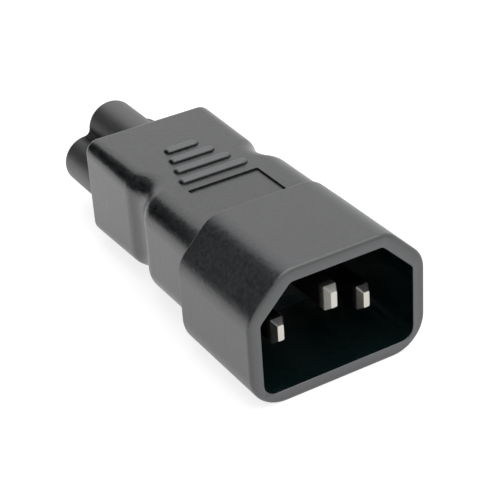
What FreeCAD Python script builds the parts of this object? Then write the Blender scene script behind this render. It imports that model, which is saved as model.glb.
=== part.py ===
import FreeCAD, Part
import math
import os
import Sketcher

# Moulded mains cord adapter: a shrouded three-blade inlet plug at +X and a cloverleaf socket nose at -X.
# The origin is under the middle of the part, on the plane of the plug section's underside. +Z is up.

SIZES = {
    # Plug section: the shroud and its mouth
    "mouth_width": 24.4,
    "mouth_height": 16.4,
    "mouth_corner_cut": 4.9,
    "mouth_top_radius": 1.2,
    "mouth_bottom_radius": 2.0,
    "mouth_edge_radius": 0.2,
    "mouth_depth": 17.0,
    "shroud_wall": 2.0,
    "plug_length": 18.9,
    "plug_corner_cut": 5.75,
    "plug_edge_radius": 4.5,
    "plug_foot_radius": 5.4,
    "rim_radius": 0.6,
    "step_radius": 0.5,
    # Shoulder, waist and grip: the body behind the plug section
    "body_height": 16.1,
    "shoulder_length": 13.3,
    "shoulder_width": 25.0,
    "shoulder_radius": 4.1,
    "brow_radius": 4.0,
    "waist_length": 7.0,
    "waist_width": 21.0,
    "waist_radius": 3.7,
    "grip_length": 14.5,
    "grip_width": 22.05,
    "neck_width": 22.2,
    "grip_radius": 2.1,
    "neck_radius": 3.0,
    "neck_edge_radius": 4.0,
    "grip_end_radius": 1.0,
    # Raised grip ribs and the sunk panel on the top face
    "rib_count": 4,
    "rib_start": 11.35,
    "rib_pitch": 3.24,
    "rib_width": 1.5,
    "rib_height": 0.5,
    "rib_root": 0.5,
    "rib_end_radius": 0.72,
    "rib_edge_radius": 0.4,
    "rib_first_length": 5.5,
    "rib_length_step": 1.9,
    "panel_width": 11.8,
    "panel_length": 9.0,
    "panel_gap": 2.0,
    "panel_depth": 0.3,
    "panel_corner_radius": 0.3,
    # Cloverleaf nose and its closing cap
    "nose_length": 13.5,
    "nose_seat": 6.0,
    "lobe_radius": 4.14,
    "lobe_spacing": 9.84,
    "lobe_rise": 4.8,
    "lobe_drop": 2.4,
    "side_notch_depth": 1.32,
    "foot_notch_depth": 3.65,
    "nose_edge_radius": 0.6,
    "entry_radius": 1.5,
    "entry_depth": 2.0,
    "entry_bevel": 0.3,
    "cap_thickness": 2.0,
    # Spring contacts in the nose
    "contact_bore_radius": 1.2,
    "contact_wall": 0.7,
    "contact_bore_depth": 9.0,
    "contact_lead_in": 0.2,
    "contact_clearance": 0.1,
    "slit_width": 0.5,
    "slit_length": 6.0,
    # Plug blades and the carrier that holds them
    "blade_thickness": 2.0,
    "blade_height": 3.8,
    "blade_spacing": 14.0,
    "blade_drop": 1.9,
    "earth_rise": 2.1,
    "blade_setback": 3.8,
    "earth_setback": 1.2,
    "blade_edge_radius": 0.2,
    "tip_length": 1.0,
    "tip_thickness": 0.95,
    "tip_height": 2.45,
    "carrier_inset": 2.0,
    "carrier_thickness": 6.0,
    # Grooves in the inserts that the overmould keys into
    "anchor_setback": 2.0,
    "anchor_width": 2.0,
    "anchor_depth": 0.8,
    # Leads between blades and contacts
    "lead_radius": 1.3,
    "conductor_radius": 0.6,
    "crimp_length": 4.5,
    "crimp_depth": 3.5,
    "lead_straight": 1.5,
    "lead_fit": 0.03,
}

doc = FreeCAD.newDocument("CordAdapter")
sheet = doc.addObject("Spreadsheet::Sheet", "Sizes")
for row, (alias, value) in enumerate(SIZES.items(), start=1):
    sheet.set(f"A{row}", alias)
    sheet.set(f"B{row}", str(value))
    sheet.setAlias(f"B{row}", alias)
doc.recompute()


def cell(alias):
    """Expression that reads one driving dimension."""
    return f"Sizes.{alias}"


def joined(*terms):
    """Expression that adds up the named dimensions; a leading minus takes one away."""
    signed = [f"- Sizes.{t[1:]}" if t.startswith("-") else f"+ Sizes.{t}" for t in terms]
    return "(" + " ".join(signed).removeprefix("+ ") + ")"


# Stations along X, from the rim back to the face of the nose
RIM_X = joined("nose_length", "grip_length", "waist_length", "shoulder_length", "plug_length") + " / 2"
PLUG_REAR_X = f"({RIM_X} - Sizes.plug_length)"
SHOULDER_REAR_X = f"({PLUG_REAR_X} - Sizes.shoulder_length)"
WAIST_MID_X = f"({SHOULDER_REAR_X} - Sizes.waist_length / 2)"
WAIST_REAR_X = f"({SHOULDER_REAR_X} - Sizes.waist_length)"
GRIP_REAR_X = f"({WAIST_REAR_X} - Sizes.grip_length)"
NOSE_FACE_X = f"({GRIP_REAR_X} - Sizes.nose_length)"
FLOOR_X = f"({RIM_X} - Sizes.mouth_depth)"
CARRIER_REAR_X = f"({FLOOR_X} - Sizes.carrier_thickness)"
NOSE_INNER_X = f"({GRIP_REAR_X} + Sizes.nose_seat)"
CAP_INNER_X = f"({NOSE_INNER_X} + Sizes.cap_thickness)"
CHAMBER_FRONT_X = f"({NOSE_FACE_X} + Sizes.entry_depth)"
ANCHOR_REAR_X = f"({GRIP_REAR_X} + Sizes.anchor_setback)"
ANCHOR_FRONT_X = f"({ANCHOR_REAR_X} + Sizes.anchor_width)"
KEY_FRONT_X = f"({FLOOR_X} - Sizes.anchor_setback)"
KEY_REAR_X = f"({KEY_FRONT_X} - Sizes.anchor_width)"

# Prisms of the inserts, each with its rear and front stations and its offset from the driving outline
NOSE_KEY_STEPS = [
    (ANCHOR_REAR_X, ANCHOR_FRONT_X, "(- Sizes.anchor_depth)"),
    (ANCHOR_FRONT_X, NOSE_INNER_X, "0"),
]
CAP_STEPS = [(NOSE_INNER_X, CAP_INNER_X, "0")]
CARRIER_STEPS = [
    (CARRIER_REAR_X, KEY_REAR_X, "(- Sizes.carrier_inset)"),
    (KEY_REAR_X, KEY_FRONT_X, "(- Sizes.carrier_inset - Sizes.anchor_depth)"),
    (KEY_FRONT_X, FLOOR_X, "(- Sizes.carrier_inset)"),
]
BLADE_SECTION = (cell("blade_thickness"), cell("blade_height"), cell("blade_edge_radius"))

# Heights
MID_Z = "(Sizes.shroud_wall + Sizes.mouth_height / 2)"
TOP_Z = f"({MID_Z} + Sizes.body_height / 2)"
LOBE_Z = f"({MID_Z} - Sizes.lobe_drop)"
EARTH_LOBE_Z = f"({LOBE_Z} + Sizes.lobe_rise)"

# Radii that follow from a wall or a fit
CONTACT_RADIUS = joined("contact_bore_radius", "contact_wall")
CHAMBER_RADIUS = joined("contact_bore_radius", "contact_wall", "contact_clearance")
LEAD_BORE_RADIUS = joined("conductor_radius", "lead_fit")

# The three poles: blade axis, contact axis and how far the blade's tip stays behind the rim
POLES = {
    "line": {
        "blade": ("(- Sizes.blade_spacing / 2)", f"({MID_Z} - Sizes.blade_drop)"),
        "contact": ("(- Sizes.lobe_spacing / 2)", LOBE_Z),
        "setback": cell("blade_setback"),
    },
    "neutral": {
        "blade": ("(Sizes.blade_spacing / 2)", f"({MID_Z} - Sizes.blade_drop)"),
        "contact": ("(Sizes.lobe_spacing / 2)", LOBE_Z),
        "setback": cell("blade_setback"),
    },
    "earth": {
        "blade": ("0", f"({MID_Z} + Sizes.earth_rise)"),
        "contact": ("0", EARTH_LOBE_Z),
        "setback": cell("earth_setback"),
    },
}


def number(expression):
    """Value of an expression in millimetres or degrees."""
    found = sheet.evalExpression(expression)
    return float(getattr(found, "Value", found))


NEAR = 1e-4


# Sketch helpers

def new_body(label):
    """An empty body whose label names the piece."""
    body = doc.addObject("PartDesign::Body", label)
    body.Label = label
    return body


def new_sketch(body, name, role, offset="0"):
    """A sketch on one of the body's origin planes, moved along the plane's normal by offset."""
    sketch = body.newObject("Sketcher::SketchObject", name)
    plane = next(item for item in body.Origin.OriginFeatures if item.Role == role)
    sketch.AttachmentSupport = [(plane, "")]
    sketch.MapMode = "FlatFace"
    sketch.setExpression("AttachmentOffset.Base.z", offset)
    return sketch


def dimension(sketch, kind, refs, expression):
    """A dimensional constraint that follows an expression."""
    index = sketch.addConstraint(Sketcher.Constraint(kind, *refs, number(expression)))
    sketch.setExpression(f"Constraints[{index}]", expression)


def pin_point(sketch, geometry, position, at):
    """Ties a point of the sketch to a pair of expressions measured from the origin."""
    for kind, axis, expression in (("DistanceX", -2, at[0]), ("DistanceY", -1, at[1])):
        if expression == "0":
            sketch.addConstraint(Sketcher.Constraint("PointOnObject", geometry, position, axis))
        else:
            dimension(sketch, kind, (-1, 1, geometry, position), expression)


def tangent(sketch, first, first_end, second, second_end):
    """Joins two ends with no corner between them."""
    sketch.addConstraint(Sketcher.Constraint("Tangent", first, first_end, second, second_end))


def arc(centre, radius, start, end):
    """Counter-clockwise arc between two directions in radians."""
    while end <= start:
        end += 2 * math.pi
    return Part.ArcOfCircle(Part.Circle(centre, FreeCAD.Vector(0, 0, 1), radius), start, end)


def direction(origin, target):
    """Angle of the line from one point to another."""
    return math.atan2(target.y - origin.y, target.x - origin.x)


def draw_circle(sketch, centre, radius):
    """A circle tied to a centre and a radius."""
    at = FreeCAD.Vector(number(centre[0]), number(centre[1]), 0)
    index = sketch.addGeometry(Part.Circle(at, FreeCAD.Vector(0, 0, 1), number(radius)))
    pin_point(sketch, index, 3, centre)
    dimension(sketch, "Radius", (index,), radius)


def draw_polygon(sketch, points):
    """A closed outline of straight lines through points given as pairs of expressions."""
    ends = [FreeCAD.Vector(number(x), number(y), 0) for x, y in points]
    count = len(points)
    lines = [sketch.addGeometry(Part.LineSegment(ends[i], ends[(i + 1) % count])) for i in range(count)]
    for i in range(count):
        sketch.addConstraint(Sketcher.Constraint("Coincident", lines[i - 1], 2, lines[i], 1))
        pin_point(sketch, lines[i], 1, points[i])


def draw_rounded(sketch, corners):
    """A convex outline, counter-clockwise, from corners given as (x, y, radius) expressions."""
    points = [FreeCAD.Vector(number(x), number(y), 0) for x, y, radius in corners]
    radii = [number(radius) for x, y, radius in corners]
    count = len(corners)
    entries, exits, arcs = [], [], []
    for i in range(count):
        back = (points[i - 1] - points[i]).normalize()
        ahead = (points[(i + 1) % count] - points[i]).normalize()
        half = back.getAngle(ahead) / 2
        entries.append(points[i] + back * (radii[i] / math.tan(half)))
        exits.append(points[i] + ahead * (radii[i] / math.tan(half)))
        centre = points[i] + (back + ahead).normalize() * (radii[i] / math.sin(half))
        arcs.append(arc(centre, radii[i], direction(centre, entries[i]), direction(centre, exits[i])))
    lines = [Part.LineSegment(exits[i], entries[(i + 1) % count]) for i in range(count)]
    line_ids = [sketch.addGeometry(line) for line in lines]
    arc_ids = [sketch.addGeometry(item) for item in arcs]
    point_ids = [sketch.addGeometry(Part.Point(point), True) for point in points]
    for i in range(count):
        pin_point(sketch, point_ids[i], 1, corners[i][:2])
        sketch.addConstraint(Sketcher.Constraint("PointOnObject", point_ids[i], 1, line_ids[i]))
        sketch.addConstraint(Sketcher.Constraint("PointOnObject", point_ids[i], 1, line_ids[i - 1]))
        tangent(sketch, line_ids[i - 1], 2, arc_ids[i], 1)
        tangent(sketch, arc_ids[i], 2, line_ids[i], 1)
        dimension(sketch, "Radius", (arc_ids[i],), corners[i][2])


def draw_rectangle(sketch, centre, width, height, radius):
    """A rounded rectangle about a centre."""
    left, right = f"({centre[0]} - {width} / 2)", f"({centre[0]} + {width} / 2)"
    low, high = f"({centre[1]} - {height} / 2)", f"({centre[1]} + {height} / 2)"
    corners = [(right, low), (right, high), (left, high), (left, low)]
    draw_rounded(sketch, [(x, y, radius) for x, y in corners])


def draw_mouth(sketch, grow, cut, top_radius, bottom_radius):
    """The plug's six-sided outline with its two cut top corners, grown outwards by an offset."""
    side = f"(Sizes.mouth_width / 2 + {grow})"
    low = f"({MID_Z} - Sizes.mouth_height / 2 - {grow})"
    high = f"({MID_Z} + Sizes.mouth_height / 2 + {grow})"
    right = [
        (side, low, bottom_radius),
        (side, f"({high} - {cut})", top_radius),
        (f"({side} - {cut})", high, top_radius),
    ]
    left = [(f"(- {y})", z, radius) for y, z, radius in reversed(right)]
    draw_rounded(sketch, right + left)


def draw_cloverleaf(sketch, grow="0"):
    """Three round lobes joined by hollow notches, grown outwards by an offset.

    A notch is the circle that touches both its lobes and whose floor is the notch's depth below the line
    that touches them.
    """
    lobe_radius = f"(Sizes.lobe_radius + {grow})"
    places = [POLES[pole]["contact"] for pole in ("earth", "line", "neutral")]
    lobes = [FreeCAD.Vector(number(y), number(z), 0) for y, z in places]
    notches, notch_radii = [], []
    for i, depth in enumerate(("side_notch_depth", "foot_notch_depth", "side_notch_depth")):
        (y0, z0), (y1, z1) = places[i], places[(i + 1) % 3]
        half_span_squared = f"(({y1} - {y0})^2 + ({z1} - {z0})^2) / 4"
        reach = f"(({half_span_squared} + Sizes.{depth}^2) / (2 * Sizes.{depth}))"
        here, there = lobes[i], lobes[(i + 1) % 3]
        outward = (there - here).cross(FreeCAD.Vector(0, 0, 1)).normalize()
        notches.append((here + there) / 2 + outward * number(f"({reach} - Sizes.{depth})"))
        notch_radii.append(f"({reach} - {lobe_radius})")
    lobe_ids, notch_ids = [], []
    for i in range(3):
        before, after = notches[i - 1], notches[i]
        start, end = direction(lobes[i], before), direction(lobes[i], after)
        lobe_ids.append(sketch.addGeometry(arc(lobes[i], number(lobe_radius), start, end)))
    for i in range(3):
        start, end = direction(notches[i], lobes[(i + 1) % 3]), direction(notches[i], lobes[i])
        notch_ids.append(sketch.addGeometry(arc(notches[i], number(notch_radii[i]), start, end)))
    for i in range(3):
        tangent(sketch, lobe_ids[i], 2, notch_ids[i], 2)
        tangent(sketch, notch_ids[i], 1, lobe_ids[(i + 1) % 3], 1)
        pin_point(sketch, lobe_ids[i], 3, places[i])
        dimension(sketch, "Radius", (lobe_ids[i],), lobe_radius)
        dimension(sketch, "Radius", (notch_ids[i],), notch_radii[i])


# Feature helpers

def add_feature(body, kind, name, profile):
    """A feature of the body, made from one sketch."""
    feature = body.newObject(f"PartDesign::{kind}", name)
    feature.Profile = profile
    return feature


def pad(body, name, sketch, length, against_normal=False):
    """Adds the sketch's outline along its normal, or against it."""
    feature = add_feature(body, "Pad", name, sketch)
    feature.setExpression("Length", length)
    feature.Reversed = against_normal
    doc.recompute()
    return feature


def loft(body, name, sketches, ruled):
    """Adds a skin through the sketches in order."""
    feature = add_feature(body, "AdditiveLoft", name, sketches[0])
    feature.Sections = sketches[1:]
    feature.Ruled = ruled
    doc.recompute()
    return feature


def pocket(body, name, sketch, length, along_normal=True):
    """Cuts the sketch's outline along its normal, or against it, and stops if that took nothing away."""
    before = body.Shape.Volume
    feature = add_feature(body, "Pocket", name, sketch)
    feature.setExpression("Length", length)
    feature.Reversed = along_normal
    doc.recompute()
    if not body.Shape.Volume < before:
        raise RuntimeError(f"{name} cuts nothing from {body.Label}")
    return feature


def plane_edges(base, axis, value, outer):
    """Names of the edges round a flat face: its outer edge, or those of its holes."""
    picked = []
    for face in base.Shape.Faces:
        box = face.BoundBox
        low, high = getattr(box, f"{axis}Min"), getattr(box, f"{axis}Max")
        if max(abs(low - value), abs(high - value)) > NEAR:
            continue
        for wire in face.Wires:
            if wire.isSame(face.OuterWire) == outer:
                picked += wire.Edges
    names = enumerate(base.Shape.Edges, start=1)
    return [f"Edge{i}" for i, edge in names if any(edge.isSame(item) for item in picked)]


def ring_edges(base, station):
    """Names of the edges that lie across X at a station."""
    names = enumerate(base.Shape.Edges, start=1)
    return [f"Edge{i}" for i, edge in names
            if max(abs(edge.BoundBox.XMin - station), abs(edge.BoundBox.XMax - station)) < NEAR]


def blend(body, kind, name, base, edges, size):
    """Rounds or bevels named edges of a feature."""
    if not edges:
        raise RuntimeError(f"{name} finds no edge on {body.Label}")
    feature = body.newObject(f"PartDesign::{kind}", name)
    feature.Base = (base, edges)
    feature.setExpression("Radius" if kind == "Fillet" else "Size", size)
    doc.recompute()
    return feature


def stack(body, operation, name, draw, steps):
    """Adds or cuts one prism after another along X; each step has its two stations and its offset."""
    for index, (rear, front, grow) in enumerate(steps, start=1):
        sketch = new_sketch(body, f"{name}Outline{index}", "YZ_Plane", rear)
        draw(sketch, grow)
        feature = operation(body, f"{name}{index}", sketch, f"({front} - {rear})")
    return feature


def place(body, x, y, z):
    """Puts a piece that was drawn on its own axis where it belongs."""
    for axis, expression in (("x", x), ("y", y), ("z", z)):
        body.setExpression(f"Placement.Base.{axis}", expression)
    doc.recompute()


# Leads: two straight ends joined by a tangent S-bend, in the plane of the blade's and the contact's axes

def draw_lead(body, name, pole, start, end):
    """Route of a lead from one station to another, bending between its two crimps."""
    (blade_y, blade_z), (contact_y, contact_z) = POLES[pole]["blade"], POLES[pole]["contact"]
    across, rise = f"({contact_y} - {blade_y})", f"({contact_z} - {blade_z})"
    step, tilt = f"sqrt({across}^2 + {rise}^2)", f"atan2({rise}; {across})"
    sketch = new_sketch(body, name, "XY_Plane", blade_z)
    sketch.AttachmentOffset = FreeCAD.Placement(
        FreeCAD.Vector(0, number(blade_y), number(blade_z)),
        FreeCAD.Rotation(FreeCAD.Vector(1, 0, 0), number(tilt)),
    )
    sketch.setExpression("AttachmentOffset.Base.y", blade_y)
    sketch.setExpression("AttachmentOffset.Rotation.Angle", tilt)
    bend_start = f"({CARRIER_REAR_X} - Sizes.crimp_length - Sizes.lead_straight)"
    bend_end = f"({CAP_INNER_X} + Sizes.crimp_length + Sizes.lead_straight)"
    x0, x1, x2, x3 = (number(item) for item in (start, bend_start, bend_end, end))
    jog = number(step)
    turn = 2 * math.atan2(jog, x1 - x2)
    radius = (x1 - x2) / (2 * math.sin(turn))
    down, up = 1.5 * math.pi, 0.5 * math.pi
    first = sketch.addGeometry(Part.LineSegment(FreeCAD.Vector(x0, 0, 0), FreeCAD.Vector(x1, 0, 0)))
    bend = sketch.addGeometry(arc(FreeCAD.Vector(x1, radius, 0), radius, down - turn, down))
    back = sketch.addGeometry(arc(FreeCAD.Vector(x2, jog - radius, 0), radius, up - turn, up))
    last = sketch.addGeometry(Part.LineSegment(FreeCAD.Vector(x2, jog, 0), FreeCAD.Vector(x3, jog, 0)))
    tangent(sketch, first, 2, bend, 2)
    tangent(sketch, bend, 1, back, 1)
    tangent(sketch, back, 2, last, 1)
    sketch.addConstraint(Sketcher.Constraint("Equal", bend, back))
    sketch.addConstraint(Sketcher.Constraint("Horizontal", first))
    sketch.addConstraint(Sketcher.Constraint("Horizontal", last))
    pin_point(sketch, first, 1, (start, "0"))
    pin_point(sketch, last, 2, (end, step))
    dimension(sketch, "DistanceX", (-1, 1, first, 2), bend_start)
    dimension(sketch, "DistanceX", (-1, 1, last, 1), bend_end)
    return sketch


def sweep_lead(body, kind, name, pole, start, end, radii):
    """Sweeps round sections along a lead's route."""
    section = new_sketch(body, f"{name}Section", "YZ_Plane", start)
    for radius in radii:
        draw_circle(section, POLES[pole]["blade"], radius)
    feature = add_feature(body, kind, name, section)
    feature.Spine = draw_lead(body, f"{name}Route", pole, start, end)
    doc.recompute()
    return feature


# Pieces

def draw_shroud(sketch, grow):
    """Outside of the plug section."""
    draw_mouth(sketch, grow, cell("plug_corner_cut"), cell("plug_edge_radius"), cell("plug_foot_radius"))


def draw_insert(sketch, grow):
    """The mouth's outline with its own corner radii, for the mouth and the carrier behind it."""
    cut = f"(Sizes.mouth_corner_cut + ({grow}) * (2 - sqrt(2)))"
    draw_mouth(sketch, grow, cut, cell("mouth_top_radius"), cell("mouth_bottom_radius"))


def make_housing():
    """The overmoulded body: plug shroud, shoulder, waist and grip, with seats for what it is moulded round."""
    body = new_body("outer_housing")
    sections = {}
    for name, station, width, radius in (
        ("Rear", GRIP_REAR_X, "grip_width", "grip_radius"),
        ("Neck", WAIST_REAR_X, "neck_width", "neck_radius"),
        ("Waist", WAIST_MID_X, "waist_width", "waist_radius"),
        ("Shoulder", SHOULDER_REAR_X, "shoulder_width", "shoulder_radius"),
    ):
        sections[name] = new_sketch(body, f"{name}Section", "YZ_Plane", station)
        draw_rectangle(sections[name], ("0", MID_Z), cell(width), cell("body_height"), cell(radius))
    doc.recompute()
    loft(body, "Grip", [sections["Rear"], sections["Neck"]], True)
    loft(body, "WaistFlare", [sections["Neck"], sections["Waist"], sections["Shoulder"]], False)
    pad(body, "ShoulderBlock", sections["Shoulder"], cell("shoulder_length"))
    plug = stack(body, pad, "PlugSection", draw_shroud, [(PLUG_REAR_X, RIM_X, cell("shroud_wall"))])

    rim = number(RIM_X)
    soft = blend(body, "Fillet", "NeckEdge", plug, ring_edges(plug, number(WAIST_REAR_X)),
                 cell("neck_edge_radius"))
    soft = blend(body, "Fillet", "Brow", soft, ring_edges(soft, number(SHOULDER_REAR_X)), cell("brow_radius"))
    soft = blend(body, "Fillet", "GripEnd", soft,
                 plane_edges(soft, "X", number(GRIP_REAR_X), True), cell("grip_end_radius"))
    soft = blend(body, "Fillet", "RimEdge", soft, plane_edges(soft, "X", rim, True), cell("rim_radius"))
    blend(body, "Fillet", "StepEdge", soft,
          plane_edges(soft, "X", number(PLUG_REAR_X), True), cell("step_radius"))
    mouth = stack(body, pocket, "Mouth", draw_insert, [(FLOOR_X, RIM_X, "0")])
    blend(body, "Fillet", "MouthEdge", mouth, plane_edges(mouth, "X", rim, False), cell("mouth_edge_radius"))

    stack(body, pocket, "CarrierSeat", draw_insert, CARRIER_STEPS)
    stack(body, pocket, "NoseSeat", draw_cloverleaf, [(GRIP_REAR_X, ANCHOR_REAR_X, "0")] + NOSE_KEY_STEPS)
    stack(body, pocket, "CapSeat", draw_cloverleaf, CAP_STEPS)
    for pole in POLES:
        sweep_lead(body, "SubtractivePipe", f"{pole.title()}Channel", pole,
                   CARRIER_REAR_X, CAP_INNER_X, [cell("lead_radius")])

    add_ribs(body)
    panel = new_sketch(body, "PanelOutline", "XY_Plane", f"({TOP_Z} - Sizes.panel_depth)")
    centre = f"({PLUG_REAR_X} - Sizes.panel_gap - Sizes.panel_length / 2)"
    draw_rectangle(panel, (centre, "0"), cell("panel_length"), cell("panel_width"),
                   cell("panel_corner_radius"))
    pocket(body, "Panel", panel, cell("panel_depth"))
    return body


def add_ribs(body):
    """Raised round-ended ribs across the grip, each longer than the one behind it."""
    sketch = new_sketch(body, "RibOutlines", "XY_Plane", f"({TOP_Z} - Sizes.rib_root)")
    for index in range(int(SIZES["rib_count"])):
        centre = f"({GRIP_REAR_X} + Sizes.rib_start + {index} * Sizes.rib_pitch)"
        length = f"(Sizes.rib_first_length + {index} * Sizes.rib_length_step)"
        draw_rectangle(sketch, (centre, "0"), cell("rib_width"), length, cell("rib_end_radius"))
    ribs = pad(body, "Ribs", sketch, joined("rib_root", "rib_height"))
    crowns = plane_edges(ribs, "Z", number(f"{TOP_Z} + Sizes.rib_height"), True)
    blend(body, "Fillet", "RibCrowns", ribs, crowns, cell("rib_edge_radius"))


def make_carrier():
    """Rigid insert whose front is the floor of the mouth; the three blades pass through it."""
    body = new_body("pin_carrier")
    stack(body, pad, "Block", draw_insert, CARRIER_STEPS)
    slots = new_sketch(body, "SlotOutlines", "YZ_Plane", CARRIER_REAR_X)
    for pole in POLES.values():
        draw_rectangle(slots, pole["blade"], *BLADE_SECTION)
    pocket(body, "Slots", slots, cell("carrier_thickness"))


def make_blade(pole):
    """Plug blade with a bevelled tip and, behind the carrier, a crimp barrel."""
    body = new_body(f"{pole}_blade")
    shank = f"(Sizes.carrier_thickness + Sizes.mouth_depth - {POLES[pole]['setback']} - Sizes.tip_length)"
    root = new_sketch(body, "RootSection", "YZ_Plane")
    draw_rectangle(root, ("0", "0"), *BLADE_SECTION)
    pad(body, "Shank", root, shank)
    ends = []
    for name, station, thickness, height in (
        ("TipStart", shank, "blade_thickness", "blade_height"),
        ("TipEnd", f"({shank} + Sizes.tip_length)", "tip_thickness", "tip_height"),
    ):
        ends.append(new_sketch(body, name, "YZ_Plane", station))
        draw_rectangle(ends[-1], ("0", "0"), cell(thickness), cell(height), cell("blade_edge_radius"))
    doc.recompute()
    loft(body, "Tip", ends, True)
    barrel = new_sketch(body, "BarrelSection", "YZ_Plane")
    draw_circle(barrel, ("0", "0"), cell("lead_radius"))
    pad(body, "Barrel", barrel, cell("crimp_length"), True)
    bore = new_sketch(body, "BoreSection", "YZ_Plane", "(- Sizes.crimp_length)")
    draw_circle(bore, ("0", "0"), LEAD_BORE_RADIUS)
    pocket(body, "Bore", bore, cell("crimp_depth"))
    place(body, CARRIER_REAR_X, *POLES[pole]["blade"])


def make_nose():
    """Cloverleaf insert with three stepped contact chambers, keyed into the grip."""
    body = new_body("socket_nose")
    block = stack(body, pad, "Block", draw_cloverleaf,
                  [(NOSE_FACE_X, ANCHOR_REAR_X, "0")] + NOSE_KEY_STEPS)
    blend(body, "Fillet", "FaceEdge", block,
          plane_edges(block, "X", number(NOSE_FACE_X), True), cell("nose_edge_radius"))
    for name, rear, front, radius in (
        ("Entries", NOSE_FACE_X, CHAMBER_FRONT_X, cell("entry_radius")),
        ("Chambers", CHAMBER_FRONT_X, NOSE_INNER_X, CHAMBER_RADIUS),
    ):
        sketch = new_sketch(body, f"{name}Outlines", "YZ_Plane", rear)
        for pole in POLES.values():
            draw_circle(sketch, pole["contact"], radius)
        cut = pocket(body, name, sketch, f"({front} - {rear})")
    mouths = plane_edges(cut, "X", number(NOSE_FACE_X), False)
    blend(body, "Chamfer", "EntryBevels", cut, mouths, cell("entry_bevel"))


def make_cap():
    """Plate that closes the contact chambers behind the nose and lets the crimp barrels through."""
    body = new_body("socket_cap")
    stack(body, pad, "Plate", draw_cloverleaf, CAP_STEPS)
    holes = new_sketch(body, "HoleOutlines", "YZ_Plane", NOSE_INNER_X)
    for pole in POLES.values():
        draw_circle(holes, pole["contact"], joined("lead_radius", "lead_fit"))
    pocket(body, "Holes", holes, cell("cap_thickness"))


def make_contact(pole):
    """Turned spring sleeve, slit at its mouth, with a crimp barrel at its inner end."""
    body = new_body(f"{pole}_contact")
    sleeve_end = joined("nose_length", "nose_seat", "-entry_depth")
    barrel_end = joined("nose_length", "nose_seat", "-entry_depth", "cap_thickness", "crimp_length")
    bore_end = f"({barrel_end} - Sizes.crimp_depth)"
    profile = new_sketch(body, "Profile", "XY_Plane")
    draw_polygon(profile, [
        (cell("contact_lead_in"), cell("contact_bore_radius")),
        ("0", joined("contact_bore_radius", "contact_lead_in")),
        ("0", CONTACT_RADIUS),
        (sleeve_end, CONTACT_RADIUS),
        (sleeve_end, cell("lead_radius")),
        (barrel_end, cell("lead_radius")),
        (barrel_end, LEAD_BORE_RADIUS),
        (bore_end, LEAD_BORE_RADIUS),
        (bore_end, "0"),
        (cell("contact_bore_depth"), "0"),
        (cell("contact_bore_depth"), cell("contact_bore_radius")),
    ])
    turned = add_feature(body, "Revolution", "Turned", profile)
    turned.ReferenceAxis = (profile, ["H_Axis"])
    doc.recompute()
    slit = new_sketch(body, "SlitOutline", "XY_Plane", f"(- {CONTACT_RADIUS})")
    half, length = "(Sizes.slit_width / 2)", cell("slit_length")
    draw_polygon(slit, [("0", f"(- {half})"), (length, f"(- {half})"), (length, half), ("0", half)])
    pocket(body, "Slit", slit, f"(2 * {CONTACT_RADIUS})")
    place(body, CHAMBER_FRONT_X, *POLES[pole]["contact"])


def make_lead(pole):
    """Copper conductor from crimp to crimp, and the insulation over its free length."""
    reach = "(Sizes.crimp_length - Sizes.crimp_depth)"
    conductor = new_body(f"{pole}_conductor")
    sweep_lead(conductor, "AdditivePipe", "Strand", pole, f"({CARRIER_REAR_X} - {reach})",
               f"({CAP_INNER_X} + {reach})", [cell("conductor_radius")])
    insulation = new_body(f"{pole}_insulation")
    sweep_lead(insulation, "AdditivePipe", "Sleeve", pole, f"({CARRIER_REAR_X} - Sizes.crimp_length)",
               f"({CAP_INNER_X} + Sizes.crimp_length)", [cell("lead_radius"), LEAD_BORE_RADIUS])


def write_parts():
    """Checks every object of the document, then writes each piece to its own file."""
    doc.recompute()
    for item in doc.Objects:
        if "Invalid" in item.State or "Error" in item.State:
            raise RuntimeError(f"{item.Label} failed: {item.State}")
    bodies = [item for item in doc.Objects if item.TypeId == "PartDesign::Body"]
    for body in bodies:
        if body.Shape.isNull() or not body.Shape.isValid() or len(body.Shape.Solids) != 1:
            raise RuntimeError(f"{body.Label} is not one valid solid")
    os.makedirs("parts", exist_ok=True)
    for body in bodies:
        body.Shape.exportStep(os.path.join("parts", f"{body.Label}.step"))
        box = body.Shape.optimalBoundingBox()
        corners = (box.XMin, box.XMax, box.YMin, box.YMax, box.ZMin, box.ZMax)
        print(body.Label, f"{body.Shape.Volume:.2f} mm3", [round(value, 3) for value in corners])


make_housing()
make_carrier()
make_nose()
make_cap()
for pole_name in POLES:
    make_blade(pole_name)
    make_contact(pole_name)
    make_lead(pole_name)
write_parts()
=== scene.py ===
"""Looks of a moulded cord adapter, with a shrouded plug at one end and a cloverleaf socket at the other."""

import logging
import math
from dataclasses import dataclass, field, replace
from enum import Enum

import bpy
from mathutils import Matrix, Vector


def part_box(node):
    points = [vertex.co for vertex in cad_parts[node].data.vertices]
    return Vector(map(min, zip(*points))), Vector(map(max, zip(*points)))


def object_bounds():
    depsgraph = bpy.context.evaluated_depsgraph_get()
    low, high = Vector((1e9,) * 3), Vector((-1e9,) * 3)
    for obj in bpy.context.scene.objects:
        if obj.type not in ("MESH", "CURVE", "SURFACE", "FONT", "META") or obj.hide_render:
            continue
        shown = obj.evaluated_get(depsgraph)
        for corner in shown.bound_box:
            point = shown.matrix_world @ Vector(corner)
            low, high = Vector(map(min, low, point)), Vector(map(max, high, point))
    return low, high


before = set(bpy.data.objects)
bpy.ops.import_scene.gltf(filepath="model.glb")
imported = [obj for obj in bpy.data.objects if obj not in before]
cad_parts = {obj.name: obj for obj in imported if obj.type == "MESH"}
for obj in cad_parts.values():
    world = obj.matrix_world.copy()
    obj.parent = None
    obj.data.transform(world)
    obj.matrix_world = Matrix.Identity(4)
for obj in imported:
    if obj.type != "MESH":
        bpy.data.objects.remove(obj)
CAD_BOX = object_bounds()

LOG = logging.getLogger("cord_adapter")
MM = 0.001

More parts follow.
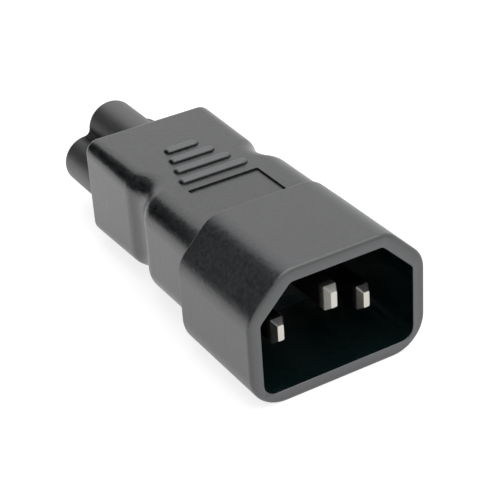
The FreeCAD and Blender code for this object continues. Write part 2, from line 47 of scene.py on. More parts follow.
Colour = tuple[float, float, float]
Range = tuple[float, float]
Socket = bpy.types.NodeSocket

# The Mix node has several ends of the same name, so its colour and vector ends go by their place.
COLOUR_ENDS = (6, 7)
COLOUR_RESULT = 2
VECTOR_ENDS = (4, 5)
VECTOR_RESULT = 1

# A range is the part of a reading that an effect spreads over its whole mask, from 0 to 1.
GRAIN_DETAIL = 3.0
GRAIN_ROUGHNESS = 0.6
PIT_SHARE = 0.4
DRIFT_DETAIL = 2.0
DRIFT_RANGE = (0.3, 0.7)
FLECK_RANGE = (0.42, 0.58)
EDGE_SAMPLES = 4
EDGE_RANGE = (0.8, 1.0)
CREASE_SAMPLES = 8
CREASE_RANGE = (0.82, 0.99)
LINE_DETAIL = 2.0
LINE_STRETCH = 0.06
STREAK_RANGE = (0.35, 0.65)
SLANT_RANGE = (0.15, 0.5)

# A point is on the inside of the mouth up to this far past the mouth's outline.
WALL_NEAR = 0.03 * MM
# Share of the slow drift in a moulding's tone. The fine flecks have the rest.
DRIFT_SHARE = 0.3
# Colour and added roughness of the painted shade in creases.
CREASE_SHADE_COLOUR = (0.002, 0.0022, 0.0022)
CREASE_SHADE_ROUGHNESS = 0.5


class Pole(Enum):
    """The three conductors that run from a plug blade to a socket contact."""

    LINE = "line"
    NEUTRAL = "neutral"
    EARTH = "earth"


class Slot(Enum):
    """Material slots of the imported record."""

    HOUSING = "housing_plastic"
    INSERT = "insert_plastic"
    NOSE = "nose_plastic"
    BLADE = "blade_plating"
    CONTACT = "contact_metal"
    COPPER = "copper"
    LINE_SLEEVE = "line_sleeve"
    NEUTRAL_SLEEVE = "neutral_sleeve"
    EARTH_SLEEVE = "earth_sleeve"


class Wiring:
    """Adds and links the nodes of one shader tree."""

    def __init__(self, tree: bpy.types.NodeTree) -> None:
        """Takes the node tree of a material or a group."""
        self.tree = tree

    def fill(self, node: bpy.types.Node, inputs: dict) -> None:
        """Sets or links the inputs of a node.

        Args:
            node: the node.
            inputs: values by socket name or place; an output socket is linked, anything else is set.
        """
        for key, value in inputs.items():
            if isinstance(value, Socket):
                self.tree.links.new(value, node.inputs[key])
            else:
                node.inputs[key].default_value = value

    def add(self, kind: str, inputs: dict | None = None, **settings: object) -> bpy.types.Node:
        """Adds one node.

        Args:
            kind: Blender's name of the node type.
            inputs: what its inputs are set or linked to.
            settings: attributes of the node itself.

        Returns:
            The new node.
        """
        node = self.tree.nodes.new(kind)
        for name, value in settings.items():
            setattr(node, name, value)
        self.fill(node, inputs or {})
        return node

    def math(self, operation: str, *values: float | Socket) -> Socket:
        """Adds a Math node.

        Args:
            operation: its operation, such as MULTIPLY.
            values: its operands, numbers or output sockets.

        Returns:
            The node's result.
        """
        return self.add("ShaderNodeMath", dict(enumerate(values)), operation=operation).outputs[0]

    def minus(self, first: float | Socket, second: float | Socket) -> Socket:
        """Takes the second value from the first."""
        return self.math("SUBTRACT", first, second)

    def times(self, first: float | Socket, second: float | Socket) -> Socket:
        """Multiplies two values."""
        return self.math("MULTIPLY", first, second)

    def top_up(self, base: float | Socket, value: float | Socket, share: float | Socket) -> Socket:
        """Adds a share of a value to a base."""
        return self.math("MULTIPLY_ADD", value, share, base)

    def part_way(self, value: Socket, start: Socket, end: Socket) -> Socket:
        """Gives how far a value is on the way from start, at 0, to end, at 1, and beyond both."""
        return self.math("DIVIDE", self.minus(value, start), self.minus(end, start))

    def span(self, value: Socket, low: float, high: float, reading: Range = (0.0, 1.0)) -> Socket:
        """Maps a value onto a range.

        Args:
            value: what is mapped.
            low: result at the lower end of the reading.
            high: result at its upper end.
            reading: both ends of what comes in.

        Returns:
            The mapped value, which stays between low and high.
        """
        start, end = reading
        inputs = {"Value": value, "From Min": start, "From Max": end, "To Min": low, "To Max": high}
        return self.add("ShaderNodeMapRange", inputs).outputs["Result"]

    def tint(self, mask: Socket, first: Colour | Socket, second: Colour | Socket) -> Socket:
        """Blends two colours by a mask.

        Args:
            mask: 0 gives the first colour and 1 the second.
            first: a colour, or the output socket of one.
            second: the same.

        Returns:
            The blended colour.
        """
        ends = [end if isinstance(end, Socket) else (*end, 1.0) for end in (first, second)]
        inputs = {"Factor": mask, **dict(zip(COLOUR_ENDS, ends))}
        return self.add("ShaderNodeMix", inputs, data_type="RGBA").outputs[COLOUR_RESULT]


class EffectGroup:
    """A shader node group with named inputs and outputs, built once and placed in several materials."""

    def __init__(self, name: str, inputs: dict[str, float], outputs: tuple[str, ...],
                 normals: tuple[str, ...] = ()) -> None:
        """Makes the empty group.

        Args:
            name: the group's name.
            inputs: its input values and their defaults.
            outputs: names of the values that it puts out.
            normals: names of the normals that it puts out.
        """
        self.tree = bpy.data.node_groups.new(name, "ShaderNodeTree")
        for label, value in inputs.items():
            socket = self.tree.interface.new_socket(label, in_out="INPUT", socket_type="NodeSocketFloat")
            socket.default_value = value
        for label in outputs:
            self.tree.interface.new_socket(label, in_out="OUTPUT", socket_type="NodeSocketFloat")
        for label in normals:
            self.tree.interface.new_socket(label, in_out="OUTPUT", socket_type="NodeSocketVector")
        self.wiring = Wiring(self.tree)
        self.given = self.wiring.add("NodeGroupInput").outputs
        self.result = self.wiring.add("NodeGroupOutput")

    def put_out(self, **values: Socket) -> None:
        """Links values to the outputs of the same names."""
        self.wiring.fill(self.result, values)

    def place(self, wiring: Wiring, **values: float | Socket) -> bpy.types.NodeOutputs:
        """Places the group in a material.

        Args:
            wiring: the material's wiring.
            values: input values, with underscores for the spaces of their names.

        Returns:
            The placed group's outputs.
        """
        inputs = {label.replace("_", " "): value for label, value in values.items()}
        return wiring.add("ShaderNodeGroup", inputs, node_tree=self.tree).outputs


def make_mould_grain() -> EffectGroup:
    """Fine spark-eroded grain of a moulding tool, with a slow drift of its tone.

    Returns:
        The group, with Height for a bump, Drift for slow changes and Fleck for fine ones.
    """
    inputs = {"Grain Size": 0.25 * MM, "Drift Size": 4.0 * MM}
    group = EffectGroup("mould_grain", inputs, ("Height", "Drift", "Fleck"))
    wiring, given = group.wiring, group.given
    place = wiring.add("ShaderNodeTexCoord").outputs["Object"]
    fine = wiring.math("DIVIDE", 1.0, given["Grain Size"])
    slow = wiring.math("DIVIDE", 1.0, given["Drift Size"])
    fine_noise = {"Vector": place, "Scale": fine, "Detail": GRAIN_DETAIL, "Roughness": GRAIN_ROUGHNESS}
    slow_noise = {"Vector": place, "Scale": slow, "Detail": DRIFT_DETAIL}
    grain = wiring.add("ShaderNodeTexNoise", fine_noise).outputs["Fac"]
    pits = wiring.add("ShaderNodeTexVoronoi", {"Vector": place, "Scale": fine}).outputs["Distance"]
    drift = wiring.add("ShaderNodeTexNoise", slow_noise).outputs["Fac"]
    group.put_out(Height=wiring.top_up(grain, pits, PIT_SHARE),
                  Drift=wiring.span(drift, 0.0, 1.0, DRIFT_RANGE),
                  Fleck=wiring.span(grain, 0.0, 1.0, FLECK_RANGE))
    return group


def make_edge_rub() -> EffectGroup:
    """Edges that hands and tools round off and polish.

    Returns:
        The group, with Edge near 1 along the edges, and Rounded for a normal that goes round them by the
        Amount.
    """
    group = EffectGroup("edge_rub", {"Width": 0.3 * MM, "Amount": 0.0}, ("Edge",), ("Rounded",))
    wiring, given = group.wiring, group.given
    bevel = wiring.add("ShaderNodeBevel", {"Radius": given["Width"]}, samples=EDGE_SAMPLES)
    rounded = bevel.outputs["Normal"]
    flat = wiring.add("ShaderNodeNewGeometry").outputs["Normal"]
    agree = wiring.add("ShaderNodeVectorMath", {0: rounded, 1: flat}, operation="DOT_PRODUCT")
    ends = dict(zip(VECTOR_ENDS, (flat, rounded)))
    turned = wiring.add("ShaderNodeMix", {"Factor": given["Amount"], **ends}, data_type="VECTOR")
    normal = wiring.add("ShaderNodeVectorMath", {0: turned.outputs[VECTOR_RESULT]}, operation="NORMALIZE")
    group.put_out(Edge=wiring.span(agree.outputs["Value"], 1.0, 0.0, EDGE_RANGE),
                  Rounded=normal.outputs["Vector"])
    return group


def make_painted_crease_shade() -> EffectGroup:
    """Painted shade in the creases of a moulding, darkest where ambient occlusion finds it narrowest.

    Returns:
        The group, with Crease at the Amount in the narrowest places and 0 on open faces.
    """
    group = EffectGroup("painted_crease_shade", {"Reach": 9.0 * MM, "Amount": 0.0}, ("Crease",))
    wiring, given = group.wiring, group.given
    openness = wiring.add("ShaderNodeAmbientOcclusion", {"Distance": given["Reach"]},
                          samples=CREASE_SAMPLES, only_local=True)
    crease = wiring.span(openness.outputs["AO"], 1.0, 0.0, CREASE_RANGE)
    group.put_out(Crease=wiring.times(crease, given["Amount"]))
    return group


def make_draw_lines() -> EffectGroup:
    """Fine lines that drawing or rolling leaves along the X axis of metal parts.

    Returns:
        The group, with Height for a bump and Streak for changes of tone.
    """
    inputs = {"Line Width": 0.08 * MM, "Stretch": LINE_STRETCH}
    group = EffectGroup("draw_lines", inputs, ("Height", "Streak"))
    wiring, given = group.wiring, group.given
    place = wiring.add("ShaderNodeTexCoord").outputs["Object"]
    squeeze = wiring.add("ShaderNodeCombineXYZ", {"X": given["Stretch"], "Y": 1.0, "Z": 1.0}).outputs[0]
    along = wiring.add("ShaderNodeVectorMath", {0: place, 1: squeeze}, operation="MULTIPLY")
    scale = wiring.math("DIVIDE", 1.0, given["Line Width"])
    noise = {"Vector": along.outputs["Vector"], "Scale": scale, "Detail": LINE_DETAIL}
    lines = wiring.add("ShaderNodeTexNoise", noise).outputs["Fac"]
    group.put_out(Height=lines, Streak=wiring.span(lines, 0.0, 1.0, STREAK_RANGE))
    return group


def make_tool_zone() -> EffectGroup:
    """Masks of the housing's zones, each with its own roughness and painted light.

    Returns:
        The group, with Front rising from 0 to 1 along the X axis on the outside of the plug section,
        Mouth 1 on the inside of it, Rim 1 on its end face, Lip falling from 1 to 0 across that face and
        Crown 1 on top of the ribs.
    """
    labels = ("Start", "End", "Half Width", "Half Height", "Middle", "Corner Cut", "Rim Start", "Rim Width",
              "Crown Base", "Crown Top")
    group = EffectGroup("tool_zone", dict.fromkeys(labels, 0.0), ("Front", "Mouth", "Rim", "Lip", "Crown"))
    wiring, given = group.wiring, group.given
    place = wiring.add("ShaderNodeTexCoord").outputs["Object"]
    axes = wiring.add("ShaderNodeSeparateXYZ", {"Vector": place}).outputs
    ramp = wiring.part_way(axes["X"], given["Start"], given["End"])
    climb = wiring.part_way(axes["Z"], given["Crown Base"], given["Crown Top"])

    # How far a point is past the mouth's outline, a box with its top corners cut at 45 degrees.
    aside = wiring.math("ABSOLUTE", axes["Y"])
    raised = wiring.minus(axes["Z"], given["Middle"])
    past_side = wiring.minus(aside, given["Half Width"])
    past_level = wiring.minus(wiring.math("ABSOLUTE", raised), given["Half Height"])
    corner = wiring.math("ADD", given["Half Width"], given["Half Height"])
    over_cut = wiring.minus(wiring.math("ADD", aside, raised), wiring.minus(corner, given["Corner Cut"]))
    past_cut = wiring.times(over_cut, math.cos(math.radians(45.0)))
    past = wiring.math("MAXIMUM", wiring.math("MAXIMUM", past_side, past_level), past_cut)

    inside = wiring.math("LESS_THAN", past, WALL_NEAR)
    outside = wiring.minus(1.0, inside)
    at_rim = wiring.math("GREATER_THAN", axes["X"], given["Rim Start"])
    across = wiring.math("DIVIDE", past, given["Rim Width"])
    group.put_out(Front=wiring.times(wiring.span(ramp, 0.0, 1.0), outside),
                  Mouth=wiring.times(wiring.math("GREATER_THAN", ramp, 1.0), inside),
                  Rim=wiring.times(at_rim, outside),
                  Lip=wiring.span(across, 1.0, 0.0),
                  Crown=wiring.times(wiring.math("LESS_THAN", ramp, 0.0), wiring.span(climb, 0.0, 1.0)))
    return group


def make_blade_shade() -> EffectGroup:
    """Masks of the painted shade on a plug blade: its shank inside the mouth and its upward faces.

    Returns:
        The group, with Shank 1 up to the Root, falling to 0 at the Tip, and Slant 1 on upward faces.
    """
    group = EffectGroup("blade_shade", {"Root": 0.0, "Tip": 0.0}, ("Shank", "Slant"))
    wiring, given = group.wiring, group.given
    place = wiring.add("ShaderNodeTexCoord").outputs
    along = wiring.add("ShaderNodeSeparateXYZ", {"Vector": place["Object"]}).outputs["X"]
    upward = wiring.add("ShaderNodeSeparateXYZ", {"Vector": place["Normal"]}).outputs["Z"]
    depth = wiring.part_way(along, given["Tip"], given["Root"])
    group.put_out(Shank=wiring.span(depth, 0.0, 1.0), Slant=wiring.span(upward, 0.0, 1.0, SLANT_RANGE))
    return group


@dataclass(frozen=True)
class EffectSet:
    """The effects that the finishes share."""

    grain: EffectGroup = field(default_factory=make_mould_grain)
    rub: EffectGroup = field(default_factory=make_edge_rub)
    crease_shade: EffectGroup = field(default_factory=make_painted_crease_shade)
    lines: EffectGroup = field(default_factory=make_draw_lines)
    zone: EffectGroup = field(default_factory=make_tool_zone)
    shade: EffectGroup = field(default_factory=make_blade_shade)


@dataclass(frozen=True)
class Surface:
    """What a moulded finish works out before its painted crease shade, polish and grain: its tone and the
    rub of its edges.
    """

    colour: Socket
    rough: Socket
    rub: bpy.types.NodeOutputs


def new_material(name: str) -> tuple[bpy.types.Material, Wiring, bpy.types.Node]:
    """Makes a material with one Principled shader.

    Args:
        name: the material's name.

    Returns:
        The material, its wiring and the shader.
    """
    material = bpy.data.materials.new(name)
    material.use_nodes = True
    shader = material.node_tree.nodes["Principled BSDF"]
    return material, Wiring(material.node_tree), shader


@dataclass(frozen=True, kw_only=True)
class MouldedPlastic:
    """Dark plastic with the fine grain of its moulding tool."""

    name: str
    dark: Colour
    light: Colour
    roughness: Range
    ior: float
    specular: float
    grain_size: float
    grain_depth: float
    edge_width: float
    edge_polish: float
    # Share and reach of the painted shade in creases.
    crease_shade: float = 0.0
    crease_shade_reach: float = 0.0

    def surface(self, wiring: Wiring, effects: EffectSet, tone: Socket) -> Surface:
        """Works out the tone of the bare plastic.

        Args:
            wiring: the material's wiring.
            effects: the shared node groups.
            tone: how light the plastic is, from 0 to 1.

        Returns:
            The colour, the roughness and the rub of the edges.
        """
        rub = effects.rub.place(wiring, Width=self.edge_width)
        return Surface(wiring.tint(tone, self.dark, self.light), wiring.span(tone, *self.roughness), rub)

    def make(self, effects: EffectSet) -> bpy.types.Material:
        """Builds the material.

        Args:
            effects: the shared node groups.

        Returns:
            The material.
        """
        material, wiring, shader = new_material(self.name)
        grain = effects.grain.place(wiring, Grain_Size=self.grain_size)
        flecks = wiring.times(grain["Fleck"], 1.0 - DRIFT_SHARE)
        bare = self.surface(wiring, effects, wiring.top_up(flecks, grain["Drift"], DRIFT_SHARE))
        colour, rough = bare.colour, bare.rough
        # Painted shade in creases, found by ambient occlusion: darker colour, more roughness and a nearly
        # black metal.
        if self.crease_shade:
            crease = effects.crease_shade.place(wiring, Amount=self.crease_shade, Reach=self.crease_shade_reach)["Crease"]
            colour = wiring.tint(crease, colour, CREASE_SHADE_COLOUR)
            rough = wiring.top_up(rough, crease, CREASE_SHADE_ROUGHNESS)
            # Painted shade in creases: a metal that is nearly black mirrors almost nothing, so the creases
            # stay dark from all sides.
            wiring.fill(shader, {"Metallic": crease})
        polish = wiring.times(bare.rub["Edge"], self.edge_polish)
        bump = wiring.add("ShaderNodeBump", {"Height": grain["Height"], "Normal": bare.rub["Rounded"],
                                             "Strength": 1.0, "Distance": self.grain_depth})
        wiring.fill(shader, {"Base Color": colour, "Roughness": wiring.minus(rough, polish),
                             "Normal": bump.outputs["Normal"], "IOR": self.ior,
                             "Specular IOR Level": self.specular})
        return material


@dataclass(frozen=True, kw_only=True)
class ZonedPlastic(MouldedPlastic):
    """Moulded plastic with painted sheen, shade and highlights on its plug section, mouth, rim and rib
    crowns.
    """

    front_roughness: float
    front_tone: float
    inside: Colour
    inside_roughness: float
    painted_highlight: Colour
    crown_highlight: float
    zones: dict[str, float] = field(default_factory=dict)

    def surface(self, wiring: Wiring, effects: EffectSet, tone: Socket) -> Surface:
        """Works out the tone of each zone, painted sheen, shade and highlights included.

        Args:
            wiring: the material's wiring.
            effects: the shared node groups.
            tone: how light the plastic is behind the plug section, from 0 to 1.

        Returns:
            The colour, the roughness and the rub of the edges.
        """
        zone = effects.zone.place(wiring, **self.zones)
        rub = effects.rub.place(wiring, Width=self.edge_width, Amount=zone["Crown"])
        rough = wiring.span(tone, *self.roughness)
        rough = wiring.top_up(rough, zone["Front"], self.front_roughness)
        rough = wiring.top_up(rough, zone["Mouth"], self.inside_roughness)
        # Painted sheen: the plug section's colour is lightened by front_tone, on top of its real extra
        # roughness.
        tone = wiring.top_up(wiring.times(tone, 1.0 - self.front_tone), zone["Front"], self.front_tone)
        # Painted shade: the inside of the mouth takes the darker inside colour; its smoother roughness is
        # real.
        colour = wiring.tint(zone["Mouth"], wiring.tint(tone, self.dark, self.light), self.inside)
        # Painted highlight: the rib crowns are lightened towards the worn colour.
        colour = wiring.tint(wiring.times(zone["Crown"], self.crown_highlight), colour, self.painted_highlight)
        # Painted highlight at the rim's inner edge, fading to painted shade, the dark colour, at its outer
        # edge.
        colour = wiring.tint(zone["Rim"], colour, wiring.tint(zone["Lip"], self.dark, self.painted_highlight))
        return Surface(colour, rough, rub)


@dataclass(frozen=True, kw_only=True)
class WorkedMetal:
    """Bare or plated metal with fine lines along its length."""

    name: str
    dark: Colour
    light: Colour
    roughness: Range
    line_width: float
    line_depth: float
    edge_width: float

    def shaded(self, wiring: Wiring, effects: EffectSet, edge: Socket, colour: Socket) -> Socket:
        """Leaves the colour as it is, because plain metal is alike all over."""
        return colour

    def make(self, effects: EffectSet) -> bpy.types.Material:
        """Builds the material.

        Args:
            effects: the shared node groups.

        Returns:
            The material.
        """
        material, wiring, shader = new_material(self.name)
        lines = effects.lines.place(wiring, Line_Width=self.line_width)
        edge = effects.rub.place(wiring, Width=self.edge_width)["Edge"]
        tone = wiring.math("MAXIMUM", lines["Streak"], edge)
        colour = self.shaded(wiring, effects, edge, wiring.tint(tone, self.dark, self.light))
        bump = wiring.add("ShaderNodeBump",
                          {"Height": lines["Height"], "Strength": 1.0, "Distance": self.line_depth})
        wiring.fill(shader, {"Base Color": colour, "Metallic": 1.0,
                             "Roughness": wiring.span(lines["Streak"], *self.roughness),
                             "Normal": bump.outputs["Normal"]})
        return material


@dataclass(frozen=True, kw_only=True)
class BladePlating(WorkedMetal):
    """Plating that is bright at a blade's tip, with painted shade on its upward faces and along its shank.
    """

    slant: Colour
    shank: Colour
    tip_length: float
    tip_fade: float
    blade_end: float = 0.0

    def shaded(self, wiring: Wiring, effects: EffectSet, edge: Socket, colour: Socket) -> Socket:
        """Paints shade on the upward faces, except along their edges, and on the shank.

        Args:
            wiring: the material's wiring.
            effects: the shared node groups.
            edge: 1 along the edges.
            colour: the colour of the bright tip.

        Returns:
            The colour of the whole blade.
        """
        tip = self.blade_end - self.tip_length
        shade = effects.shade.place(wiring, Root=tip - self.tip_fade, Tip=tip)
        # Painted shade on the upward faces, left off their edges, and on the shank inside the mouth.
        shaded_faces = wiring.times(shade["Slant"], wiring.minus(1.0, edge))
        return wiring.tint(shade["Shank"], wiring.tint(shaded_faces, colour, self.slant), self.shank)


# Painted light: front_tone is a painted sheen, inside is painted shade, worn is a painted highlight and
# dirt is painted shade in creases.
HOUSING_FINISH = ZonedPlastic(
    name="matt_black_overmould", dark=(0.0008, 0.0022, 0.0022), light=(0.033, 0.0346, 0.0386),
    roughness=(0.285, 0.345), ior=1.65, specular=0.82, grain_size=0.6 * MM, grain_depth=0.026 * MM,
    edge_width=0.4 * MM, edge_polish=0.05, crease_shade=0.6, crease_shade_reach=0.3 * MM,
    front_roughness=0.075, front_tone=0.46, inside=(0.003, 0.009, 0.009), inside_roughness=-0.16,
    painted_highlight=(0.047, 0.05, 0.057), crown_highlight=0.85,
)
# The nose's dirt is painted shade in the creases between its lobes.
NOSE_FINISH = MouldedPlastic(
    name="satin_black_nose", dark=(0.02, 0.0208, 0.0214), light=(0.027, 0.0278, 0.0284),
    roughness=(0.46, 0.52), ior=1.65, specular=1.0, grain_size=0.5 * MM, grain_depth=0.014 * MM,
    edge_width=0.25 * MM, edge_polish=0.05, crease_shade=1.0, crease_shade_reach=9.0 * MM,
)
INSERT_FINISH = MouldedPlastic(
    name="black_insert", dark=(0.003, 0.0045, 0.005), light=(0.005, 0.0072, 0.0078),
    roughness=(0.34, 0.42), ior=1.5, specular=0.5, grain_size=0.2 * MM, grain_depth=0.004 * MM,
    edge_width=0.2 * MM, edge_polish=0.04,
)
# The slant and shank colours are painted shade on the blades' upward faces and on their shanks inside the
# mouth.
BLADE_FINISH = BladePlating(
    name="bright_nickel", dark=(0.55, 0.53, 0.485), light=(0.64, 0.62, 0.565), roughness=(0.32, 0.4),
    line_width=0.08 * MM, line_depth=0.002 * MM, edge_width=0.2 * MM, slant=(0.2, 0.198, 0.19),
    shank=(0.032, 0.0315, 0.03), tip_length=1.0 * MM, tip_fade=1.2 * MM,
)
EARTH_BLADE_FINISH = replace(
    BLADE_FINISH, name="satin_nickel", dark=(0.54, 0.525, 0.49), light=(0.62, 0.605, 0.56),
    roughness=(0.46, 0.54), slant=(0.36, 0.352, 0.338), tip_length=1.1 * MM,
)
CONTACT_FINISH = WorkedMetal(
    name="spring_bronze", dark=(0.48, 0.27, 0.12), light=(0.66, 0.42, 0.2), roughness=(0.22, 0.34),
    line_width=0.07 * MM, line_depth=0.002 * MM, edge_width=0.12 * MM,
)
COPPER_FINISH = WorkedMetal(
    name="drawn_copper", dark=(0.55, 0.2, 0.1), light=(0.78, 0.36, 0.2), roughness=(0.22, 0.36),
    line_width=0.09 * MM, line_depth=0.004 * MM, edge_width=0.12 * MM,
)
BROWN_SLEEVE_FINISH = MouldedPlastic(
    name="brown_sleeve", dark=(0.09, 0.035, 0.015), light=(0.13, 0.05, 0.022),
    roughness=(0.4, 0.5), ior=1.5, specular=0.5, grain_size=0.3 * MM, grain_depth=0.004 * MM,
    edge_width=0.1 * MM, edge_polish=0.03,
)
BLUE_SLEEVE_FINISH = replace(
    BROWN_SLEEVE_FINISH, name="blue_sleeve", dark=(0.01, 0.08, 0.3), light=(0.015, 0.11, 0.38),
)
GREEN_SLEEVE_FINISH = replace(
    BROWN_SLEEVE_FINISH, name="green_sleeve", dark=(0.03, 0.2, 0.03), light=(0.3, 0.36, 0.04),
)
SLEEVES = {
    Pole.LINE: (Slot.LINE_SLEEVE, BROWN_SLEEVE_FINISH),
    Pole.NEUTRAL: (Slot.NEUTRAL_SLEEVE, BLUE_SLEEVE_FINISH),
    Pole.EARTH: (Slot.EARTH_SLEEVE, GREEN_SLEEVE_FINISH),
}


def dress(node: str, material: bpy.types.Material) -> None:
    """Gives a carried-over solid its finish.

    Args:
        node: the solid's name in the frame.
        material: what it is made of.
    """
    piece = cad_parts[node]
    piece.data.materials.clear()
    piece.data.materials.append(material)
    LOG.info("dressed %s in %s", node, material.name)


@dataclass
class Overmould:
    """The outer housing: plug shroud, shoulder, waist and grip in one moulding.

    The wall is the shroud's. The plug section's roughness and painted sheen are full from its rim back to
    front_depth and fade out over front_fade. The rib crowns, with a painted highlight, lie crown_drop under
    the top of the shroud.
    """

    node: str = "outer_housing"
    finish: ZonedPlastic = HOUSING_FINISH
    wall: float = 2.0 * MM
    corner_cut: float = 4.9 * MM
    rim_depth: float = 0.3 * MM
    rim_width: float = 1.8 * MM
    front_depth: float = 17.6 * MM
    front_fade: float = 6.0 * MM
    crown_drop: float = 1.7 * MM
    crown_fade: float = 0.2 * MM

    def zones(self) -> dict[str, float]:
        """Works out where the zones are from the housing's box in the frame.

        Returns:
            The inputs of the tool zone group.
        """
        low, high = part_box(self.node)
        front = high.x - self.front_depth
        crown = high.z - self.crown_drop
        return {
            "Start": front - self.front_fade, "End": front,
            "Half Width": (high.y - low.y) / 2 - self.wall, "Half Height": (high.z - low.z) / 2 - self.wall,
            "Middle": (low.z + high.z) / 2, "Corner Cut": self.corner_cut,
            "Rim Start": high.x - self.rim_depth, "Rim Width": self.rim_width,
            "Crown Base": crown - self.crown_fade, "Crown Top": crown,
        }

    def build(self, effects: EffectSet) -> None:
        """Dresses the housing."""
        finish = replace(self.finish, zones=self.zones())
        dress(self.node, finish.make(effects))


@dataclass
class PlugInsert:
    """The carrier at the bottom of the mouth and its three blades."""

    carrier: str = "pin_carrier"
    carrier_finish: MouldedPlastic = INSERT_FINISH
    blade_finish: BladePlating = BLADE_FINISH
    earth_finish: BladePlating = EARTH_BLADE_FINISH

    def build(self, effects: EffectSet) -> None:
        """Dresses the carrier and the blades.

        Args:
            effects: the shared node groups.
        """
        dress(self.carrier, self.carrier_finish.make(effects))
        self.plate((Pole.LINE, Pole.NEUTRAL), self.blade_finish, effects)
        self.plate((Pole.EARTH,), self.earth_finish, effects)

    @staticmethod
    def plate(poles: tuple[Pole, ...], finish: BladePlating, effects: EffectSet) -> None:
        """Dresses blades of one length.

        Args:
            poles: whose blades they are.
            finish: their plating.
            effects: the shared node groups.
        """
        blades = [f"{pole.value}_blade" for pole in poles]
        _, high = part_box(blades[0])
        plating = replace(finish, blade_end=high.x).make(effects)
        for blade in blades:
            dress(blade, plating)


@dataclass
class SocketEnd:
    """The cloverleaf nose, the cap behind it and its three contacts."""

    nose: str = "socket_nose"
    cap: str = "socket_cap"
    nose_finish: MouldedPlastic = NOSE_FINISH
    cap_finish: MouldedPlastic = INSERT_FINISH
    contact_finish: WorkedMetal = CONTACT_FINISH

    def build(self, effects: EffectSet) -> None:
        """Dresses the nose, the cap and the contacts.

        Args:
            effects: the shared node groups.
        """
        dress(self.nose, self.nose_finish.make(effects))
        dress(self.cap, self.cap_finish.make(effects))
        bronze = self.contact_finish.make(effects)
        for pole in Pole:
            dress(f"{pole.value}_contact", bronze)


@dataclass
class LeadSet:
    """The three insulated leads inside the housing."""

    conductor_finish: WorkedMetal = COPPER_FINISH

    def build(self, effects: EffectSet) -> None:
        """Dresses the conductors and their sleeves.

        Args:
            effects: the shared node groups.
        """
        copper = self.conductor_finish.make(effects)
        for pole in Pole:
            slot, sleeve = SLEEVES[pole]
            dress(f"{pole.value}_conductor", copper)
            dress(f"{pole.value}_insulation", sleeve.make(effects))


def grey(level: float) -> tuple[float, float, float, float]:
    """Gives an opaque grey, from 0, black, to 1, white."""
    return (level, level, level, 1.0)


def hang_sheet(name: str, corners: list[tuple[float, float, float]],
               material: bpy.types.Material) -> bpy.types.Object:
    """Makes one flat four-sided piece of the set.

    Args:
        name: its name.
        corners: its four corners, in order round it.
        material: what it is made of.

    Returns:
        The sheet's object.
    """
    mesh = bpy.data.meshes.new(name)
    mesh.from_pydata(corners, [], [tuple(range(len(corners)))])
    mesh.materials.append(material)
    sheet = bpy.data.objects.new(name, mesh)
    bpy.context.scene.collection.objects.link(sheet)
    return sheet


@dataclass(frozen=True)
class Softbox:
    """A rectangular studio light that faces the object from above; the azimuth goes round from +X."""

    name: str = "overhead_box"
    azimuth_deg: float = 20.0
    elevation_deg: float = 78.0
    distance: float = 0.8
    width: float = 0.9
    height: float = 0.8
    radiance: float = 1.4

    def build(self, aim: Vector) -> None:
        """Makes the lamp.

        Args:
            aim: the point that it faces.
        """
        lamp = bpy.data.lights.new(self.name, "AREA")
        lamp.shape = "RECTANGLE"
        lamp.size = self.width
        lamp.size_y = self.height
        lamp.energy = self.radiance * math.pi * self.width * self.height
        turn, rise = math.radians(self.azimuth_deg), math.radians(self.elevation_deg)
        away = Vector((math.cos(turn) * math.cos(rise), math.sin(turn) * math.cos(rise), math.sin(rise)))
        # A lamp shines along its own -Z axis, so its Z axis points away from the object.
        axes = away.to_track_quat("Z", "Y").to_matrix().to_4x4()
        light = bpy.data.objects.new(self.name, lamp)
        light.matrix_world = Matrix.Translation(aim + away * self.distance) @ axes
        bpy.context.scene.collection.objects.link(light)


@dataclass(frozen=True)
class BlackDrape:
    """A dark cloth along the left of the set, seen only as the dark bands on the object's left edges."""

    name: str = "black_drape"
    rear: float = -8.0
    front: float = 0.5
    aside: float = -0.8
    top: float = 4.5
    tone: float = 0.004

    def build(self) -> None:
        """Makes the cloth."""
        material, wiring, shader = new_material(self.name)
        wiring.fill(shader, {"Base Color": grey(self.tone), "Specular IOR Level": 0.0})
        corners = [(self.rear, self.aside, 0.0), (self.front, self.aside, 0.0),
                   (self.front, self.aside, self.top), (self.rear, self.aside, self.top)]
        hang_sheet(self.name, corners, material).visible_camera = False


@dataclass(frozen=True)
class PhotoCamera:
    """The photograph's viewpoint, aim and lens; lens and sensor are in millimetres."""

    name: str = "photo_camera"
    azimuth_deg: float = 60.739
    elevation_deg: float = 31.010
    roll_deg: float = -3.918
    distance: float = 215.0 * MM
    aim: tuple[float, float, float] = (20.504 * MM, -5.682 * MM, 16.386 * MM)
    lens: float = 113.34
    sensor: float = 36.0
    clip_start: float = 10.0 * MM

    def build(self) -> None:
        """Makes the camera and gives it to the scene."""
        angles = (self.azimuth_deg, self.elevation_deg, self.roll_deg)
        turn, rise, roll = (math.radians(angle) for angle in angles)
        right = Vector((math.cos(turn), math.sin(turn), 0.0))
        back = Vector((math.sin(turn) * math.cos(rise), -math.cos(turn) * math.cos(rise), math.sin(rise)))
        up = back.cross(right)
        rolled_right = right * math.cos(roll) + up * math.sin(roll)
        rolled_up = up * math.cos(roll) - right * math.sin(roll)
        axes = Matrix((rolled_right, rolled_up, back)).transposed().to_4x4()
        lens = bpy.data.cameras.new(self.name)
        lens.lens = self.lens
        lens.sensor_width = self.sensor
        lens.clip_start = self.clip_start
        camera = bpy.data.objects.new(self.name, lens)
        camera.matrix_world = Matrix.Translation(Vector(self.aim) + back * self.distance) @ axes
        bpy.context.scene.collection.objects.link(camera)
        bpy.context.scene.camera = camera


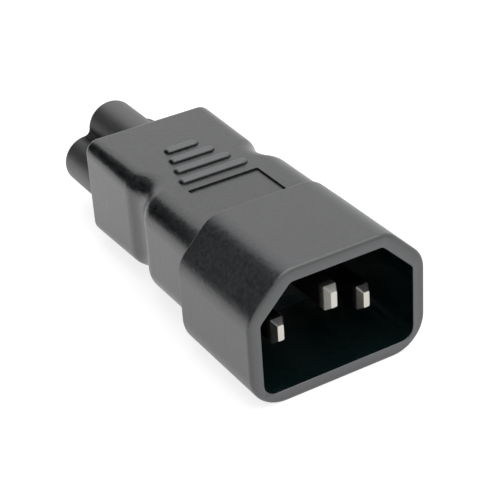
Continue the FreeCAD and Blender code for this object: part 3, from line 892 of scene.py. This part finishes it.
@dataclass
class Studio:
    """White floor and backdrop, one soft lamp, a black drape and the photograph's camera."""

    floor_half: float = 2.0
    floor_tone: float = 0.42
    floor_glow: float = 0.8
    backdrop: float = 1.0
    lamp: Softbox = Softbox()
    drape: BlackDrape = BlackDrape()
    camera: PhotoCamera = PhotoCamera()

    def build(self) -> None:
        """Makes the whole set."""
        self.make_floor()
        self.make_world()
        low, high = CAD_BOX
        self.lamp.build((low + high) / 2)
        self.drape.build()
        self.camera.build()
        bpy.context.scene.view_settings.view_transform = "Standard"

    @staticmethod
    def seen_directly(wiring: Wiring) -> Socket:
        """Masks the rays that show the floor itself.

        Args:
            wiring: the tree that the mask is for.

        Returns:
            1 for camera, glossy and transmission rays, 0 for the rest.
        """
        path = wiring.add("ShaderNodeLightPath").outputs
        mirrored = wiring.math("MAXIMUM", path["Is Glossy Ray"], path["Is Transmission Ray"])
        return wiring.math("MAXIMUM", path["Is Camera Ray"], mirrored)

    def make_floor(self) -> None:
        """Lays the floor that the object stands on."""
        material, wiring, shader = new_material("white_floor")
        glow = wiring.times(self.seen_directly(wiring), self.floor_glow)
        wiring.fill(shader, {"Base Color": grey(self.floor_tone), "Roughness": 1.0,
                             "Specular IOR Level": 0.0, "Emission Color": grey(1.0),
                             "Emission Strength": glow})
        reach = self.floor_half
        corners = [(-reach, -reach, 0.0), (reach, -reach, 0.0), (reach, reach, 0.0), (-reach, reach, 0.0)]
        hang_sheet("floor", corners, material)

    def make_world(self) -> None:
        """Makes the backdrop plain white."""
        world = bpy.data.worlds.new("studio")
        world.use_nodes = True
        bpy.context.scene.world = world
        back = world.node_tree.nodes["Background"]
        back.inputs["Color"].default_value = grey(1.0)
        back.inputs["Strength"].default_value = self.backdrop


def main() -> None:
    """Dresses the sub-assemblies in order and sets up the studio."""
    logging.basicConfig(level=logging.INFO, format="%(name)s: %(message)s")
    effects = EffectSet()
    for assembly in (Overmould(), PlugInsert(), SocketEnd(), LeadSet()):
        assembly.build(effects)
    Studio().build()


if __name__ == "__main__":
    main()
